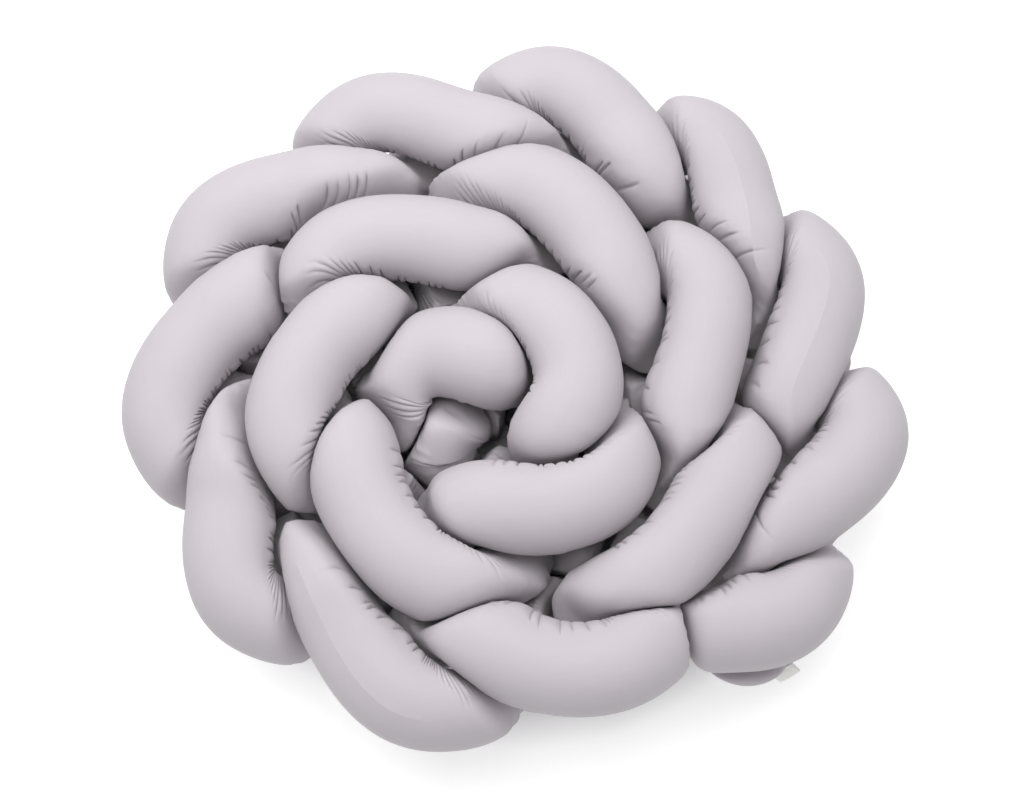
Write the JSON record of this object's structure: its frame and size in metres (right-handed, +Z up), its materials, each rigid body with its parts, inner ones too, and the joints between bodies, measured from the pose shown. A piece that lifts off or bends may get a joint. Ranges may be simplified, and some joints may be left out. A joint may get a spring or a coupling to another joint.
{
  "type": "braided crib bumper, rolled up",
  "caption": "Flat plait of plump stuffed cotton tubes, stood on its edge and rolled into a rose-shaped coil, to be unrolled round the inside of a cot as soft padding.",
  "frame": {"origin": "on the floor under the roll, at the middle of its outline in plan", "axes": "+Z up, square to the floor that the roll stands on; +Y away from the side where the roll's outer end and its label lie; +X to the right of someone looking along +Y"},
  "size_m": [0.6674, 0.6279, 0.1852],
  "materials": {
    "cotton": "smooth woven cotton, pale lilac grey, matt",
    "ribbon": "white woven ribbon, blank"
  },
  "bodies": {
    "root": {"tube_a": "cotton", "tube_b": "cotton", "tube_c": "cotton", "label": "ribbon"}
  },
  "joints": []
}
